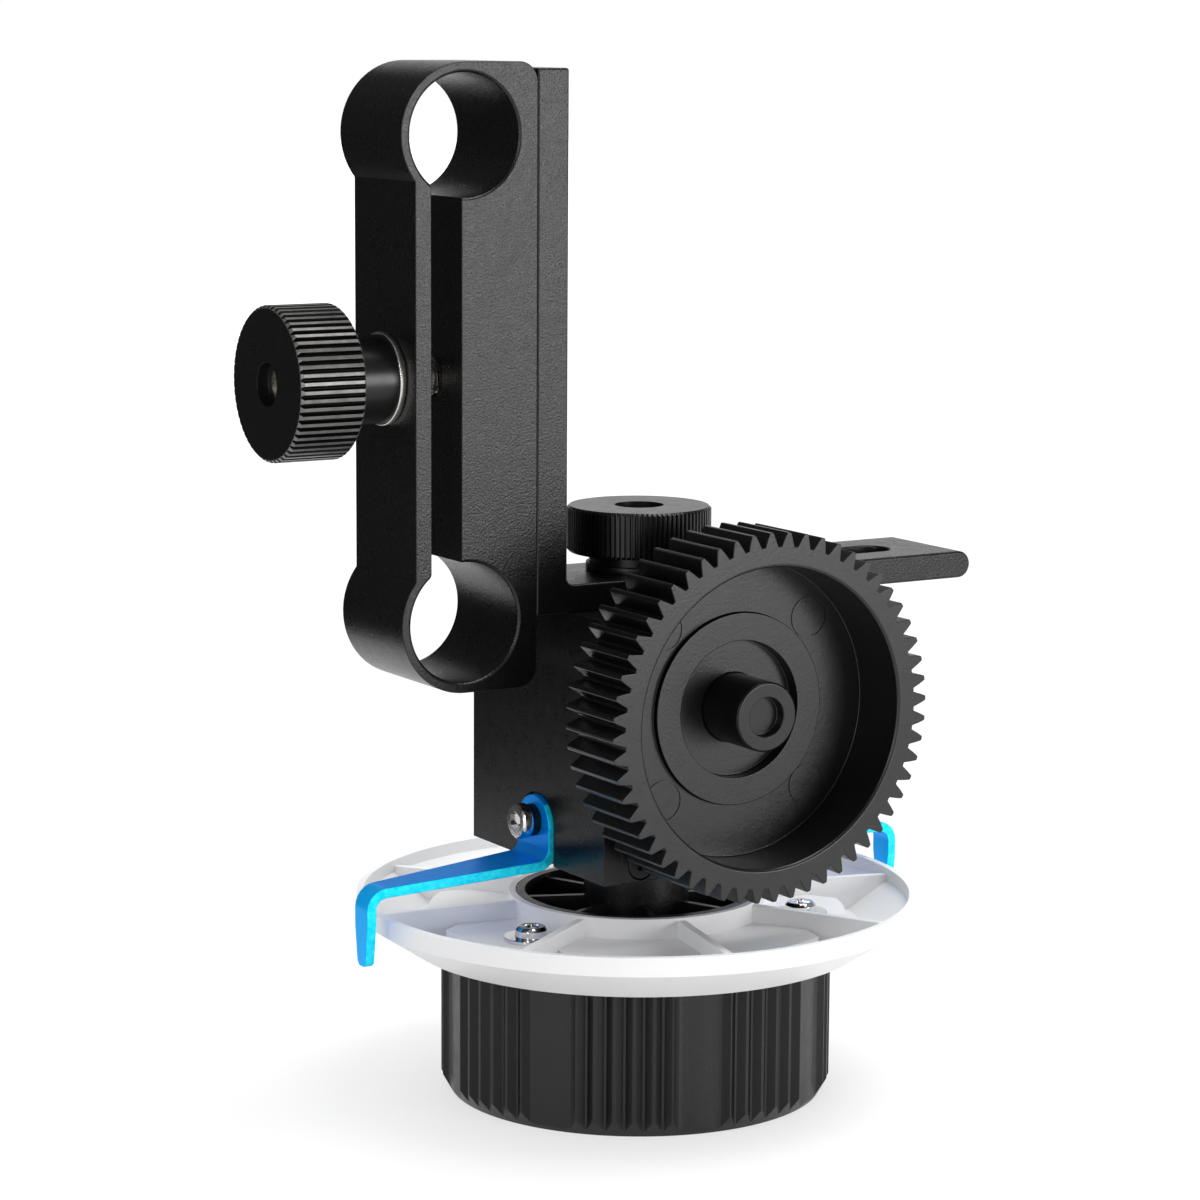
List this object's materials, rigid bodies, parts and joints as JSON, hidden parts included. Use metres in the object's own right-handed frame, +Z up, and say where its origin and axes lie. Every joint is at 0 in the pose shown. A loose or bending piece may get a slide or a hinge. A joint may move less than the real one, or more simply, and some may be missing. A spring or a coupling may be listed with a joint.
{
  "type": "follow focus unit",
  "caption": "Rod-mounted follow focus unit with a handwheel, marking disc, bevel gearbox, drive gear, slotted bracket and split rod clamp.",
  "frame": {"origin": "centre of the handwheel's bottom face, on the handwheel's axis", "axes": "+Z up along the handwheel's axis, +X along the slotted arm towards its free end, -Y towards the drive gear"},
  "size_m": [0.101, 0.0736, 0.1341],
  "materials": {
    "black_anodised": "black anodised, fine matte blast",
    "black_knurl": "black anodised, turned and fluted",
    "black_screw": "black oxide",
    "silver_steel": "bright plated steel",
    "chrome_screw": "polished plating",
    "dark_steel": "blackened, turned",
    "bearing_brass": "turned",
    "grip_plastic": "fine spark texture",
    "gear_plastic": "moulded, satin",
    "disc_plastic": "moulded, glossy white",
    "blue_anodised": "blue anodised, cut edges",
    "black_plastic": "satin"
  },
  "bodies": {
    "bracket": {"rod_clamp": "black_anodised", "slotted_bracket": "black_anodised", "bracket_screws": "black_screw"},
    "clamp_pad": {"clamp_washer": "silver_steel"},
    "clamp_screw": {"clamp_knob": "black_knurl", "clamp_stud": "silver_steel"},
    "gearbox": {"gearbox_shell": "black_anodised", "front_cover": "black_anodised", "rear_cover": "black_anodised", "front_cover_screws": "black_screw", "rear_cover_screws": "black_screw", "input_bush": "bearing_brass", "front_bush": "bearing_brass", "rear_bush": "bearing_brass", "left_pointer": "blue_anodised", "right_pointer": "blue_anodised", "left_pointer_spacer": "black_plastic", "right_pointer_spacer": "black_plastic", "left_pointer_screw": "chrome_screw", "right_pointer_screw": "chrome_screw"},
    "lock_pad": {"lock_washer": "black_plastic"},
    "lock_screw": {"lock_knob": "black_knurl", "lock_stud": "silver_steel"},
    "wheel": {"handwheel": "grip_plastic", "marking_disc": "disc_plastic", "disc_screws": "chrome_screw", "input_shaft": "silver_steel", "input_bevel": "bearing_brass", "input_bevel_screw": "black_screw", "friction_washer": "silver_steel", "wheel_screw": "silver_steel", "wheel_screw_washer": "silver_steel", "wheel_cap": "black_plastic"},
    "output": {"output_shaft": "dark_steel", "output_bevel": "bearing_brass", "output_bevel_screw": "black_screw", "drive_gear": "gear_plastic"}
  },
  "joints": [
    {"name": "gearbox_slide", "type": "slide", "parent": "bracket", "child": "gearbox", "axis": [1, 0, 0], "range_m": [-0.0005, 0.0315]},
    {"name": "wheel_spin", "type": "hinge", "parent": "gearbox", "child": "wheel", "pos_m": [0, 0, 0], "axis": [0, 0, 1], "continuous": true},
    {"name": "gear_spin", "type": "hinge", "parent": "gearbox", "child": "output", "pos_m": [0, 0, 0.05425], "axis": [0, -1, 0], "continuous": true},
    {"name": "lock_travel", "type": "slide", "parent": "gearbox", "child": "lock_pad", "axis": [0, 0, 1], "range_m": [0, 0.00125]},
    {"name": "lock_turn", "type": "hinge", "parent": "lock_pad", "child": "lock_screw", "pos_m": [0, 0, 0.0699], "axis": [0, 0, 1], "range_deg": [0, 540]},
    {"name": "clamp_travel", "type": "slide", "parent": "bracket", "child": "clamp_pad", "axis": [-1, 0, 0], "range_m": [0, 0.00125]},
    {"name": "clamp_turn", "type": "hinge", "parent": "clamp_pad", "child": "clamp_screw", "pos_m": [-0.038, 0, 0.0953], "axis": [-1, 0, 0], "range_deg": [0, 540]}
  ],
  "couplings": [
    {"joint": "gear_spin", "follows": "wheel_spin", "ratio": 1},
    {"joint": "lock_travel", "follows": "lock_turn", "m_per_rad": 0.00012732},
    {"joint": "clamp_travel", "follows": "clamp_turn", "m_per_rad": 0.00012732}
  ]
}
